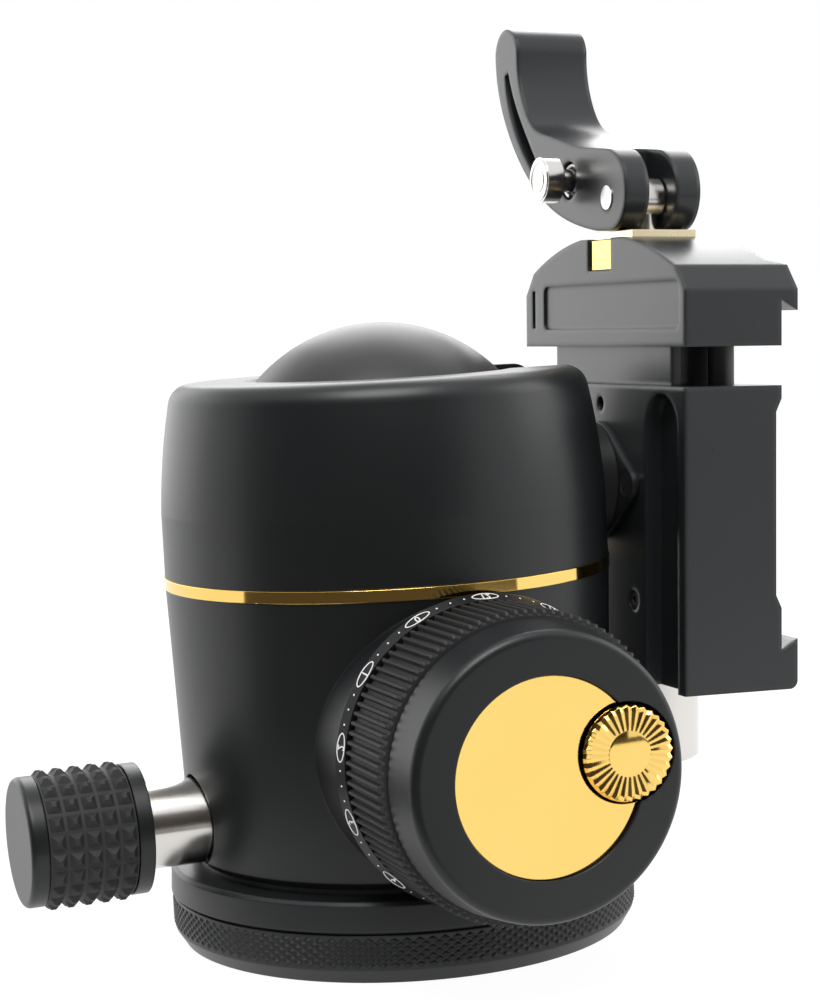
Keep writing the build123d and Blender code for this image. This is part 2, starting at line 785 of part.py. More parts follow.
with BuildPart() as knob_cap:
    with BuildSketch(spindle_plane):
        with BuildLine():
            Polyline(
                (0, core_t1),
                (cap_neck_r, core_t1),
                (cap_neck_r, core_t1 + cap_neck_len),
                (cap_r, core_t1 + cap_neck_len),
                (cap_front_r, cap_t1),
                (0, cap_t1),
                close=True,
            )
        make_face()
    revolve(axis=spindle_axis)
    rim = knob_cap.edges().filter_by(GeomType.CIRCLE).group_by(Axis.Y)[0]
    fillet(rim, cap_fillet)
    with BuildSketch(knob_face(disc_t1 - disc_h)):
        Circle(disc_r + part_line)
    extrude(amount=disc_h + cap_r, mode=Mode.SUBTRACT)
    with BuildSketch(knob_face(core_t1)):
        Circle(knob_screw_head_r + part_line)
    extrude(amount=knob_screw_head_h + part_line, mode=Mode.SUBTRACT)
    with BuildSketch(knob_face(tension_t0 - part_line)):
        with Locations((tension_x, tension_y)):
            Circle(tension_r + tension_gap)
    extrude(amount=cap_r, mode=Mode.SUBTRACT)
    with BuildSketch(knob_face(core_t1)):
        with Locations((tension_x, tension_y)):
            Circle(tension_shank_r + run_gap)
    extrude(amount=tension_t0 - core_t1, mode=Mode.SUBTRACT)
save(knob_cap, "knob_cap")

with BuildPart() as gold_disc:
    with BuildSketch(knob_face(disc_t1 - disc_h)):
        Circle(disc_r)
        with Locations((tension_x, tension_y)):
            Circle(tension_r + tension_gap, mode=Mode.SUBTRACT)
    extrude(amount=disc_h)
save(gold_disc, "gold_disc")

with BuildPart() as knob_screw:
    with BuildSketch(knob_face(core_t1)):
        Circle(knob_screw_head_r)
    extrude(amount=knob_screw_head_h)
    with BuildSketch(knob_face(core_t1)):
        Circle(knob_screw_r)
    extrude(amount=-knob_screw_len)
    with BuildSketch(knob_face(core_t1 + knob_screw_head_h)):
        RegularPolygon(hex_socket_r, 6)
    extrude(amount=-hex_socket_depth, mode=Mode.SUBTRACT)
save(knob_screw, "knob_screw")

with BuildPart() as tension_screw:
    with BuildSketch(knob_face(tension_t0)):
        with Locations((tension_x, tension_y)):
            Circle(tension_r)
    extrude(amount=tension_t1 - tension_t0)
    with BuildSketch(knob_face(tension_shank_t0)):
        with Locations((tension_x, tension_y)):
            Circle(tension_shank_r)
    extrude(amount=tension_t0 - tension_shank_t0)
save(tension_screw, "tension_screw")

with BuildPart() as tension_stop:
    with BuildSketch(knob_face(stop_t0)):
        with Locations((tension_x, tension_y)):
            Rectangle(2 * stop_half_w, 2 * stop_half_w)
            Circle(tension_shank_r + run_gap, mode=Mode.SUBTRACT)
    extrude(amount=stop_h)
save(tension_stop, "tension_stop")

# ================================================================ pan lock
pan_cap_t0 = pan_grip_t1 + part_line
pan_nose_t = pan_cap_t1 - pan_shaft_nose
pad_tip_t = brake_groove_r + pan_pad_travel + face_gap
pad_back_t = pan_thread_t0 - face_gap

with BuildPart() as pan_shaft:
    with BuildSketch(pan_face(pan_thread_t0)):
        Circle(pan_thread_r)
    extrude(amount=pan_nose_t - pan_thread_t0)
    with BuildSketch(pan_face(pan_shaft_recess_t + face_gap)):
        Circle(pan_shaft_r)
    extrude(amount=pan_nose_t - pan_shaft_recess_t - face_gap)
save(pan_shaft, "pan_shaft")

with BuildPart() as pan_knob_core:
    with BuildSketch(pan_face(pan_collar_t0)):
        Circle(pan_collar_r)
    extrude(amount=pan_collar_t1 - pan_collar_t0)
    with BuildSketch(pan_face(pan_collar_t1)):
        Circle(pan_core_r)
    extrude(amount=pan_grip_t1 - pan_collar_t1)
    with BuildSketch(pan_face(pan_collar_t0)):
        Circle(pan_shaft_r)
    extrude(amount=pan_grip_t1 - pan_collar_t0, mode=Mode.SUBTRACT)
save(pan_knob_core, "pan_knob_core")

with BuildPart() as pan_knob_grip:
    with BuildSketch(pan_face(pan_collar_t1 + part_line)):
        Circle(pan_grip_r)
        Circle(pan_core_r, mode=Mode.SUBTRACT)
    extrude(amount=pan_grip_t1 - pan_collar_t1 - part_line)
save(pan_knob_grip, "pan_knob_grip")

with BuildPart() as pan_knob_cap:
    with BuildSketch(pan_face(pan_cap_t0)):
        Circle(pan_cap_r)
    extrude(amount=pan_cap_t1 - pan_cap_t0)
    fillet(pan_knob_cap.edges().group_by(Axis.X)[0], pan_cap_fillet)
    with BuildSketch(pan_face(pan_cap_t0)):
        Circle(pan_shaft_r)
    extrude(amount=pan_nose_t - pan_cap_t0, mode=Mode.SUBTRACT)
save(pan_knob_cap, "pan_knob_cap")

with BuildPart() as pan_brake_pad:
    with BuildSketch(pan_profile):
        with BuildLine():
            Polyline(
                (0, -pad_tip_t),
                (pan_pad_r, -(pad_back_t - pan_pad_len)),
                (pan_pad_r, -pad_back_t),
                (0, -pad_back_t),
                close=True,
            )
        make_face()
    revolve(axis=pan_axis)
save(pan_brake_pad, "pan_brake_pad")

# ================================================================ ball with its stem
with BuildPart() as ball_stem:
    with Locations(ball_centre):
        Sphere(ball_r)
    with BuildSketch(clamp_plane):
        Circle(stem_r)
    extrude(amount=stem_len)
    with BuildSketch(clamp_plane.offset(stem_len)):
        Circle(stem_bore_r + run_gap)
    extrude(amount=-stem_bore_len, mode=Mode.SUBTRACT)
save(ball_stem, "ball_stem")

with BuildPart() as stem_flange:
    with BuildSketch(clamp_plane.offset(stem_len + face_gap)):
        Circle(flange_half_h)
        with Locations((-lobe_x, 0), (lobe_x, 0)):
            Circle(lobe_r)
        make_hull()
    extrude(amount=flange_h)
    with BuildSketch(clamp_plane.offset(stem_len + face_gap)):
        Circle(stem_bore_r)
    extrude(amount=face_gap + spigot_spare - stem_bore_len)
    with BuildSketch(clamp_plane.offset(stem_len)):
        with Locations((-lobe_x, 0), (lobe_x, 0)):
            Circle(mount_screw_r)
    extrude(amount=flange_h + face_gap, mode=Mode.SUBTRACT)
save(stem_flange, "stem_flange")

# ================================================================ quick-release clamp
with BuildPart() as clamp_body:
    with BuildSketch(end_plane):
        with BuildLine():
            Polyline(
                (clamp_u0, body_bottom_c),
                (lip_u, body_bottom_c),
                (lip_u, body_bottom_c + lip_depth + lip_overhang / 2),
                (clamp_u1, body_bottom_c + lip_depth - lip_overhang / 2),
                (clamp_u1, relief_c0 - relief_slope),
                (clamp_u1 - relief_depth, relief_c0),
                (clamp_u1 - relief_depth, relief_c1),
                (clamp_u1, relief_c1 + relief_slope),
                (clamp_u1, body_top_c),
                (clamp_u0, body_top_c),
                close=True,
            )
        make_face()
    extrude(amount=clamp_half_w, both=True)
    foot_edges = clamp_body.edges().filter_by(Axis.Y).group_by(SortBy.LENGTH)[-1].group_by(Axis.Z)[0]
    fillet(foot_edges, corner_round)
    with BuildSketch(bed_plane.offset(body_top_c)):
        with Locations((clamp_u0 + (tongue_u0 + tongue_u1) / 2, 0)):
            Rectangle(tongue_u1 - tongue_u0, 2 * tongue_half_w)
        with Locations((clamp_u0 + tongue_u0 + tongue_rib_h / 2, 0)):
            Rectangle(tongue_rib_h, 2 * tongue_rib_half_w)
    extrude(amount=tongue_len)
    with BuildSketch(bed_plane.offset(tongue_c1)):
        with Locations((clamp_u0 + rod_u, -spring_b), (clamp_u0 + rod_u, spring_b)):
            Circle(spring_hole_r)
    extrude(amount=spring_seat_c - tongue_c1, mode=Mode.SUBTRACT)
    with BuildSketch(bed_plane.offset(body_bottom_c)):
        with Locations((clamp_u0 + rod_u, 0)):
            Circle(rod_r + run_gap)
    extrude(amount=tongue_c1 - body_bottom_c, mode=Mode.SUBTRACT)
    with BuildSketch(bed_plane.offset(body_top_c)):
        with Locations((clamp_u0 + pin_u, -pin_b), (clamp_u0 + pin_u, pin_b)):
            Circle(pin_r)
    extrude(amount=-pin_root, mode=Mode.SUBTRACT)
    with BuildSketch(under(0)):
        with Locations((-lobe_x, 0), (lobe_x, 0)):
            Circle(mount_screw_r)
    extrude(amount=clamp_thick, mode=Mode.SUBTRACT)
    with BuildSketch(under(clamp_thick - mount_screw_sink - mount_screw_head_h)):
        with Locations((-lobe_x, 0), (lobe_x, 0)):
            Circle(mount_screw_head_r + part_line)
    extrude(amount=clamp_thick, mode=Mode.SUBTRACT)
    with BuildSketch(under(0)):
        with Locations((-set_screw_b, set_screw_c), (set_screw_b, set_screw_c)):
            Circle(set_screw_r)
    extrude(amount=set_screw_len, mode=Mode.SUBTRACT)
    with BuildSketch(under(0)):
        with Locations((0, eyelet_c)):
            Circle(eyelet_r)
    extrude(amount=eyelet_depth, mode=Mode.SUBTRACT)
    with BuildSketch(under(0)):
        with Locations((-scallop_b, scallop_top_c - scallop_r), (scallop_b, scallop_top_c - scallop_r)):
            Circle(scallop_r)
            Rectangle(2 * scallop_r, 2 * clamp_half_w, align=(Align.CENTER, Align.MAX))
    extrude(amount=scallop_depth, mode=Mode.SUBTRACT)
save(clamp_body, "clamp_body")

with BuildPart() as clamp_mount_screws:
    with BuildSketch(under(-flange_h)):
        with Locations((-lobe_x, 0), (lobe_x, 0)):
            Circle(mount_screw_r)
    extrude(amount=flange_h + clamp_thick - mount_screw_sink - mount_screw_head_h)
    with BuildSketch(under(clamp_thick - mount_screw_sink - mount_screw_head_h)):
        with Locations((-lobe_x, 0), (lobe_x, 0)):
            Circle(mount_screw_head_r)
    extrude(amount=mount_screw_head_h)
    with BuildSketch(under(clamp_thick - mount_screw_sink)):
        with Locations((-lobe_x, 0), (lobe_x, 0)):
            RegularPolygon(hex_socket_r, 6)
    extrude(amount=-hex_socket_depth, mode=Mode.SUBTRACT)
save(clamp_mount_screws, "clamp_mount_screws")

with BuildPart() as set_screws:
    with BuildSketch(under(part_line)):
        with Locations((-set_screw_b, set_screw_c), (set_screw_b, set_screw_c)):
            Circle(set_screw_r)
            RegularPolygon(set_screw_r / 2, 6, mode=Mode.SUBTRACT)
    extrude(amount=hex_socket_depth)
    with BuildSketch(under(part_line + hex_socket_depth)):
        with Locations((-set_screw_b, set_screw_c), (set_screw_b, set_screw_c)):
            Circle(set_screw_r)
    extrude(amount=set_screw_len - hex_socket_depth - part_line)
save(set_screws, "set_screws")

with BuildPart() as guide_pins:
    with BuildSketch(bed_plane.offset(body_top_c - pin_root)):
        with Locations((clamp_u0 + pin_u, -pin_b), (clamp_u0 + pin_u, pin_b)):
            Circle(pin_r)
    extrude(amount=pin_root + jaw_gap + pin_reach)
save(guide_pins, "guide_pins")

with BuildPart() as draw_rod:
    with BuildSketch(bed_plane.offset(body_bottom_c - nut_len)):
        with Locations((clamp_u0 + rod_u, 0)):
            Circle(rod_r)
    extrude(amount=pivot_c - (pivot_r + eye_r) / 2 - body_bottom_c + nut_len)
    with BuildSketch(under(rod_u - eye_h / 2)):
        with Locations((0, pivot_c)):
            Circle(eye_r)
    extrude(amount=eye_h)
    with BuildSketch(under(0)):
        with Locations((0, pivot_c)):
            Circle(pivot_r)
    extrude(amount=clamp_thick, mode=Mode.SUBTRACT)
save(draw_rod, "draw_rod")

with BuildPart() as pivot_pin:
    with BuildSketch(under(lever_u0 - pivot_proud)):
        with Locations((0, pivot_c)):
            Circle(pivot_r)
    extrude(amount=lever_thick + 2 * pivot_proud)
save(pivot_pin, "pivot_pin")

with BuildPart() as adjusting_nut:
    with BuildSketch(bed_plane.offset(body_bottom_c - nut_gap)):
        with Locations((clamp_u0 + rod_u, 0)):
            Circle(nut_r)
    extrude(amount=-nut_len)
    chamfer(adjusting_nut.edges().filter_by(GeomType.CIRCLE), nut_chamfer)
    with BuildSketch(bed_plane.offset(body_bottom_c)):
        with Locations((clamp_u0 + rod_u, 0)):
            Circle(rod_r + run_gap)
    extrude(amount=-2 * nut_len, mode=Mode.SUBTRACT)
save(adjusting_nut, "adjusting_nut")

with BuildPart() as movable_jaw:
    with BuildSketch(end_plane):
        with BuildLine():
            Polyline(
                (clamp_u0, jaw_c0),
                (clamp_u1, jaw_c0),
                (clamp_u1, jaw_c0 + jaw_lip_c + lip_overhang),
                (lip_u, jaw_c0 + jaw_lip_c),
                (lip_u, jaw_c0 + jaw_lip_c + lip_depth),
                (clamp_u1, jaw_c0 + jaw_lip_c + lip_depth + lip_overhang / 2),
                (clamp_u1, jaw_crest_c + lip_h),
                (clamp_u0, jaw_crest_c + lip_h),
                close=True,
            )
        make_face()
    extrude(amount=clamp_half_w, both=True)
    # The crest is one long arc between two shoulders, cut out of the plain bar.
    with BuildSketch(under(0)) as crest:
        with BuildLine():
            ThreePointArc(
                (-jaw_shoulder_b, jaw_crest_c - jaw_shoulder_drop),
                (0, jaw_crest_c),
                (jaw_shoulder_b, jaw_crest_c - jaw_shoulder_drop),
            )
            Polyline(
                (jaw_shoulder_b, jaw_crest_c - jaw_shoulder_drop),
                (clamp_half_w, jaw_c0 + jaw_side_h),
                (clamp_half_w, jaw_c0),
                (-clamp_half_w, jaw_c0),
                (-clamp_half_w, jaw_c0 + jaw_side_h),
                (-jaw_shoulder_b, jaw_crest_c - jaw_shoulder_drop),
            )
        make_face()
    extrude(amount=clamp_thick + lip_h, mode=Mode.INTERSECT)
    with BuildSketch(bed_plane.offset(wear_seat_c)):
        with Locations((clamp_u0 + clamp_thick / 2, 0)):
            Rectangle(2 * clamp_thick, 2 * wear_plate_half_w + 2 * part_line)
    extrude(amount=jaw_height, mode=Mode.SUBTRACT)
    with BuildSketch(bed_plane.offset(jaw_c0)):
        with Locations((clamp_u0 + (tongue_u0 + tongue_u1) / 2, 0)):
            Rectangle(tongue_u1 - tongue_u0 + 2 * pocket_gap, 2 * pocket_half_w)
    extrude(amount=pocket_c1 - jaw_c0, mode=Mode.SUBTRACT)
    with BuildSketch(bed_plane.offset(jaw_c0)):
        with Locations((clamp_u0 + pin_u, -pin_b), (clamp_u0 + pin_u, pin_b)):
            Circle(pin_r + run_gap)
    extrude(amount=pin_bore_end, mode=Mode.SUBTRACT)
    with BuildSketch(bed_plane.offset(jaw_c0)):
        with Locations((clamp_u0 + rod_u, 0)):
            Circle(rod_r + rod_room)
    extrude(amount=2 * jaw_height, mode=Mode.SUBTRACT)
    with BuildSketch(under(0)):
        with Locations(((tab_b0 + tab_b1) / 2, tab_c0)):
            Rectangle(tab_b1 - tab_b0, jaw_height, align=(Align.CENTER, Align.MIN))
    extrude(amount=tab_slot_depth, mode=Mode.SUBTRACT)
    with BuildSketch(under(0)):
        with Locations(((panel_b0 + panel_b1) / 2, (panel_c0 + panel_c1) / 2)):
            RectangleRounded(panel_b1 - panel_b0, panel_c1 - panel_c0, panel_round)
    extrude(amount=panel_depth, mode=Mode.SUBTRACT)
    with BuildSketch(under(0)):
        with Locations((slot_b, (slot_c0 + slot_c1) / 2)):
            Rectangle(slot_w, slot_c1 - slot_c0)
    extrude(amount=slot_depth, mode=Mode.SUBTRACT)
save(movable_jaw, "movable_jaw")

with BuildPart() as cam_wear_plate:
    with BuildSketch(bed_plane.offset(wear_seat_c)):
        with Locations((clamp_u0 + (wear_plate_u0 + wear_plate_u1) / 2, 0)):
            Rectangle(wear_plate_u1 - wear_plate_u0, 2 * wear_plate_half_w)
        with Locations((clamp_u0 + rod_u, 0)):
            Circle(rod_r + rod_room, mode=Mode.SUBTRACT)
    extrude(amount=wear_plate_h)
save(cam_wear_plate, "cam_wear_plate")

with BuildPart() as brass_tab:
    with BuildSketch(under(tab_slot_depth - tab_h)):
        with Locations(((tab_b0 + tab_b1) / 2, tab_c0 + tab_gap)):
            Rectangle(
                tab_b1 - tab_b0 - 2 * tab_gap,
                wear_seat_c - tab_c0 - tab_gap - tab_sink,
                align=(Align.CENTER, Align.MIN),
            )
    extrude(amount=tab_h)
save(brass_tab, "brass_tab")

with BuildPart() as jaw_springs:
    for side in (-spring_b, spring_b):
        coil_plane = bed_plane.offset(spring_seat_c + spring_wire_r)
        coil_origin = coil_plane.from_local_coords((clamp_u0 + rod_u, side, 0))
        coil_height = pocket_c1 - spring_seat_c - 2 * spring_wire_r
        with BuildLine() as coil:
            Helix(coil_height / spring_turns, coil_height, spring_coil_r, coil_origin, rise_dir)
        with BuildSketch(Plane(origin=coil.line @ 0, z_dir=coil.line % 0)):
            Circle(spring_wire_r)
        sweep(path=coil.line, is_frenet=True)
save(jaw_springs, "jaw_springs")

# ================================================================ lever
def cam_point(step):
    """Point of the cam's edge, whose distance to its tangent grows evenly with the turn."""
    turned = radians(lever_turn) * step / cam_steps
    facing = radians(-90) - turned
    reach = cam_r0 + cam_lift * turned
    across = reach * cos(facing) + cam_lift * sin(facing)
    up = reach * sin(facing) - cam_lift * cos(facing)
    return (across, pivot_c + up)


def from_pivot(points):
    """Places on the lever, given from its pivot, in the clamp's own coordinates."""
    return [(across, pivot_c + up) for across, up in points]


with BuildPart() as lever:
    with BuildSketch(under(lever_u0)):
        with BuildLine():
            cam_edge = Spline(*[cam_point(step) for step in range(cam_steps + 1)])
            top_edge = Spline(cam_edge @ 1, *from_pivot(lever_top))
            tip = ThreePointArc(top_edge @ 1, *from_pivot(lever_tip))
            low_edge = Spline(tip @ 1, *from_pivot(lever_low))
            Line(low_edge @ 1, cam_edge @ 0)
        make_face()
    extrude(amount=lever_thick)
    with BuildSketch(under(rod_u - fork_gap / 2)):
        with Locations((fork_b, pivot_c)):
            Rectangle(clamp_half_w, clamp_half_w, align=(Align.MAX, Align.CENTER))
    extrude(amount=fork_gap, mode=Mode.SUBTRACT)
    with BuildSketch(under(0)):
        with Locations((0, pivot_c)):
            Circle(pivot_r + run_gap)
    extrude(amount=clamp_thick, mode=Mode.SUBTRACT)
    with BuildSketch(under(0)):
        with BuildLine():
            outer = Spline(*from_pivot(slot_outer))
            inner = Spline(*from_pivot(slot_inner))
            Line(outer @ 1, inner @ 0)
            Line(inner @ 1, outer @ 0)
        make_face()
    extrude(amount=lever_u0 + slot_cut_depth, mode=Mode.SUBTRACT)
    with BuildSketch(under(0)):
        with Locations((plunger_b, pivot_c + plunger_up)):
            Circle(plunger_pocket_r)
    extrude(amount=lever_u0 + plunger_spring_seat, mode=Mode.SUBTRACT)
    with BuildSketch(under(0)):
        with Locations((plunger_b, pivot_c + plunger_up)):
            Circle(plunger_shank_r + run_gap)
    plunger_end = lever_u0 - plunger_reach + plunger_head_h + plunger_shank_len
    extrude(amount=min(plunger_end + plunger_bore_spare, lever_thick), mode=Mode.SUBTRACT)
save(lever, "lever")

with BuildPart() as lock_plunger:
    with BuildSketch(under(lever_u0 - plunger_reach)):
        with Locations((plunger_b, pivot_c + plunger_up)):
            Circle(plunger_head_r)
    extrude(amount=plunger_head_h)
    with BuildSketch(under(lever_u0 - plunger_reach + plunger_head_h)):
        with Locations((plunger_b, pivot_c + plunger_up)):
            Circle(plunger_shank_r)
    extrude(amount=plunger_shank_len)
save(lock_plunger, "lock_plunger")

with BuildPart() as plunger_spring:
    spring_plane = under(lever_u0 + plunger_spring_seat - plunger_spring_wire_r)
    spring_origin = spring_plane.from_local_coords((plunger_b, pivot_c + plunger_up, 0))
    spring_height = plunger_spring_len - 2 * plunger_spring_wire_r
    with BuildLine() as spring_coil:
        Helix(
            spring_height / plunger_spring_turns,
            spring_height,
            plunger_spring_r,
            spring_origin,
            -stem_dir,
        )
    with BuildSketch(Plane(origin=spring_coil.line @ 0, z_dir=spring_coil.line % 0)):
        Circle(plunger_spring_wire_r)
    sweep(path=spring_coil.line, is_frenet=True)
save(plunger_spring, "plunger_spring")
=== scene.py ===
# %% [markdown]
# # Dressing a tripod ball head
# The solids of the head come from its CAD model and already stand at their real places and sizes. This
# lesson gives them their finishes, adds the details that are too fine for the solids (rubber ribs, studs,
# knurling, the printed scale), and sets up a small product studio. The solids are loaded first, because
# every other piece is placed by them and moves with them.

# %% Load the solids
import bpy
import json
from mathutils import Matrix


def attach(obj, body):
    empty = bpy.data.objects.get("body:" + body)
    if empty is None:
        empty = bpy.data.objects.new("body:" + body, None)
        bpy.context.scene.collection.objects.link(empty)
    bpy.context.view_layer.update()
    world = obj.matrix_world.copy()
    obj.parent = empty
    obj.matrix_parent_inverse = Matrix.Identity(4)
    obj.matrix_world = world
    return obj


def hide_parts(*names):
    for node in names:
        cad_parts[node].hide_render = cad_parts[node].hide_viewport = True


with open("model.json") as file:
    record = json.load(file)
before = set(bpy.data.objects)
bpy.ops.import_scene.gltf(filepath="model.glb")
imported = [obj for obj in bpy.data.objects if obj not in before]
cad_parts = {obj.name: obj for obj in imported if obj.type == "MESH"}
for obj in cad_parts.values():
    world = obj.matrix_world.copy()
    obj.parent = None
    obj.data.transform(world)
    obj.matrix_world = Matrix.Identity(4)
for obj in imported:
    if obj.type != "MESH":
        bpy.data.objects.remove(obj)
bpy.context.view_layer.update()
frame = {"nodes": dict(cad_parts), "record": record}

# %% Libraries and the unit
import json
import math

import bmesh
import bpy
from mathutils import Matrix, Vector

mm = 0.001
scene = bpy.context.scene
print("one unit is a metre, so sizes are written as millimetres times", mm)

# %% [markdown]
# ## Writing shader maths as expressions
# A finish is a formula over the surface: a little noise changes how rough it is, a line pattern tilts its
# normal. Building such formulas node by node is long, so one small class wraps an output socket. Python's
# own operators then add Math nodes, and one method adds any other node: it sets the node's settings
# first and fills its sockets after that.

# %% The wire class
class Wire:
    """An output socket of a node tree. Arithmetic on wires adds Math nodes."""

    def __init__(self, tree, socket=None):
        self.tree = tree
        self.socket = socket

    def add(self, kind, settings=None, inputs=None, out=0):
        """Add a node, set it up, fill its sockets, and give back one of its outputs."""
        made = self.tree.nodes.new(kind)
        for name, value in (settings or {}).items():
            setattr(made, name, value)
        for key, value in (inputs or {}).items():
            if isinstance(value, Wire):
                self.tree.links.new(value.socket, made.inputs[key])
            else:
                made.inputs[key].default_value = value
        return Wire(self.tree, made.outputs[out])

    def other(self, name):
        """Another output of the node that this wire comes from."""
        return Wire(self.tree, self.socket.node.outputs[name])

    def maths(self, operation, *values):
        return self.add("ShaderNodeMath", {"operation": operation}, dict(enumerate(values)))

    def __add__(self, value):
        return self.maths("ADD", self, value)

    def __sub__(self, value):
        return self.maths("SUBTRACT", self, value)

    def __mul__(self, value):
        return self.maths("MULTIPLY", self, value)

    def __truediv__(self, value):
        return self.maths("DIVIDE", self, value)


print("wires add Math nodes for + - * and /")

# %% [markdown]
# ## One recipe for turned and milled finishes
# Every metal and rubber piece of the head has the same layers: a base colour, a roughness that wanders a
# little because hands and bead blasting are never even, and a fine grain that catches light. The edges
# are softened in the shading, as a deburred edge is, so that they draw a thin bright line. One
# function takes the amounts, which keeps the finishes comparable.

# %% Helpers for the finishes
def noise(wire, place, scale, detail=3.0):
    """A cloudy pattern in object space; scale is in spots per metre."""
    return wire.add("ShaderNodeTexNoise", {}, {"Vector": place, "Scale": scale, "Detail": detail})


def mixed(wire, share, low, high):
    """A colour between two colours."""
    low = low if isinstance(low, Wire) else (*low, 1)
    high = high if isinstance(high, Wire) else (*high, 1)
    return wire.add("ShaderNodeMix", {"data_type": "RGBA"}, {0: share, 6: low, 7: high}, out=2)


def finish(name, colour, tint, rough, wander, grain, depth, edge=0.25, metal=0.0, sheen=0.5, lines=None):
    """A finish: colour and its tint variation, roughness and its wander, grain per metre and its depth."""
    material = bpy.data.materials.new(name)
    material.use_nodes = True
    tree = material.node_tree
    shader = tree.nodes["Principled BSDF"]
    start = Wire(tree)
    place = start.add("ShaderNodeTexCoord", {}, {}, out="Object")
    clouds = noise(start, place, 70.0)
    spots = noise(start, place, grain, 2.0)
    base = mixed(start, clouds, colour, tint)
    uneven = (clouds - 0.5) * wander + (spots - 0.5) * wander * 0.5 + rough
    height = spots
    if lines:
        stretched = start.add("ShaderNodeMapping", {}, {"Vector": place, "Scale": lines})
        marks = noise(start, stretched, 900.0, 4.0)
        height = spots * 0.4 + marks * 0.6
        uneven = uneven + (marks - 0.5) * wander
    soft = start.add("ShaderNodeBevel", {"samples": 4}, {"Radius": edge * mm})
    tilt = start.add("ShaderNodeBump", {},
                     {"Strength": 0.6, "Distance": depth * mm, "Height": height, "Normal": soft})
    tree.links.new(base.socket, shader.inputs["Base Color"])
    tree.links.new(uneven.socket, shader.inputs["Roughness"])
    tree.links.new(tilt.socket, shader.inputs["Normal"])
    shader.inputs["Metallic"].default_value = metal
    shader.inputs["Specular IOR Level"].default_value = sheen
    return material


print("finish() builds one material from about a dozen numbers")

# %% [markdown]
# ## The finishes
# The housing is bead-blasted aluminium, anodised black: dark, satin, with a faint cloudiness. The clamp is
# anodised too, but milled, so it is a touch greyer and shows long fine lines. The ball has a smooth
# matte coating. The rings and the thumbscrew are polished brass; the rubber is dull and slightly dusty.
# The values are plain colours under plain light, so that the head also looks right elsewhere.

# %% Metals and coatings
finishes = {
    "black_anodised": finish("black_anodised", (0.0085, 0.0095, 0.0105), (0.011, 0.012, 0.013),
                             0.36, 0.08, 9000.0, 0.004, edge=0.3, sheen=0.42),
    "clamp_anodised": finish("clamp_anodised", (0.014, 0.0155, 0.017), (0.018, 0.0195, 0.021),
                             0.30, 0.07, 7000.0, 0.003, edge=0.8, sheen=0.5, lines=(1, 14, 1)),
    "ball_coating": finish("ball_coating", (0.014, 0.0145, 0.0155), (0.018, 0.0185, 0.0195),
                           0.40, 0.06, 8000.0, 0.003, edge=0.4, sheen=0.5),
    "polished_brass": finish("polished_brass", (0.95, 0.66, 0.20), (0.92, 0.61, 0.17),
                             0.07, 0.05, 5000.0, 0.0006, edge=0.12, metal=1.0),
    "pale_brass": finish("pale_brass", (0.90, 0.80, 0.55), (0.84, 0.72, 0.46),
                         0.28, 0.10, 5000.0, 0.002, edge=0.15, metal=1.0),
    "stainless": finish("stainless", (0.74, 0.72, 0.69), (0.68, 0.66, 0.63),
                        0.22, 0.08, 4000.0, 0.0012, edge=0.2, metal=1.0, lines=(30, 1, 1)),
    "steel": finish("steel", (0.56, 0.55, 0.54), (0.48, 0.47, 0.46),
                    0.32, 0.12, 4000.0, 0.002, edge=0.15, metal=1.0),
    "dark_steel": finish("dark_steel", (0.045, 0.044, 0.044), (0.07, 0.068, 0.066),
                         0.38, 0.12, 6000.0, 0.003, edge=0.1, metal=0.6),
    "bronze": finish("bronze", (0.55, 0.36, 0.18), (0.44, 0.28, 0.14),
                     0.45, 0.12, 3000.0, 0.006, edge=0.15, metal=1.0),
    "bearing_plastic": finish("bearing_plastic", (0.020, 0.020, 0.020), (0.028, 0.028, 0.028),
                              0.42, 0.08, 3000.0, 0.003, edge=0.15),
    "dial_black": finish("dial_black", (0.006, 0.006, 0.0065), (0.009, 0.009, 0.0095),
                         0.30, 0.06, 8000.0, 0.002, edge=0.12, sheen=0.4),
    "grip_rubber": finish("grip_rubber", (0.022, 0.0225, 0.023), (0.034, 0.0345, 0.035),
                          0.62, 0.16, 5000.0, 0.02, edge=0.08, sheen=0.35),
}
print("finishes:", ", ".join(finishes))

# %% [markdown]
# ### The printed scale
# The figures on the dial are white paint filled into shallow engraving. It is a slightly warm, chalky
# white with small flaws, so it gets a noise of its own instead of one flat colour.

# %% White paint
scale_paint = finish("scale_paint", (0.90, 0.90, 0.88), (0.74, 0.74, 0.72),
                     0.50, 0.10, 7000.0, 0.004, edge=0.02)
print("paint for the scale:", scale_paint.name)

# %% Give each solid its finish
slot_of = {part["node"]: part["material_slot"] for part in frame["record"]["subparts"]}
for node, solid in frame["nodes"].items():
    solid.data.materials.clear()
    solid.data.materials.append(finishes[slot_of[node]])
print("painted", len(slot_of), "solids")

# %% [markdown]
# ## A tree that copies a shape round an axis
# Ribs, studs and knurling repeat round a circle. Modelling one and copying it by Geometry Nodes keeps
# the spacing exact and lets one number change the pattern. The tree makes one point for each copy,
# turns each copy by its share of the circle, shifts it by its row, and moves the whole ring onto its
# axis. Neighbouring copies share an edge, so merging close points closes the surface.

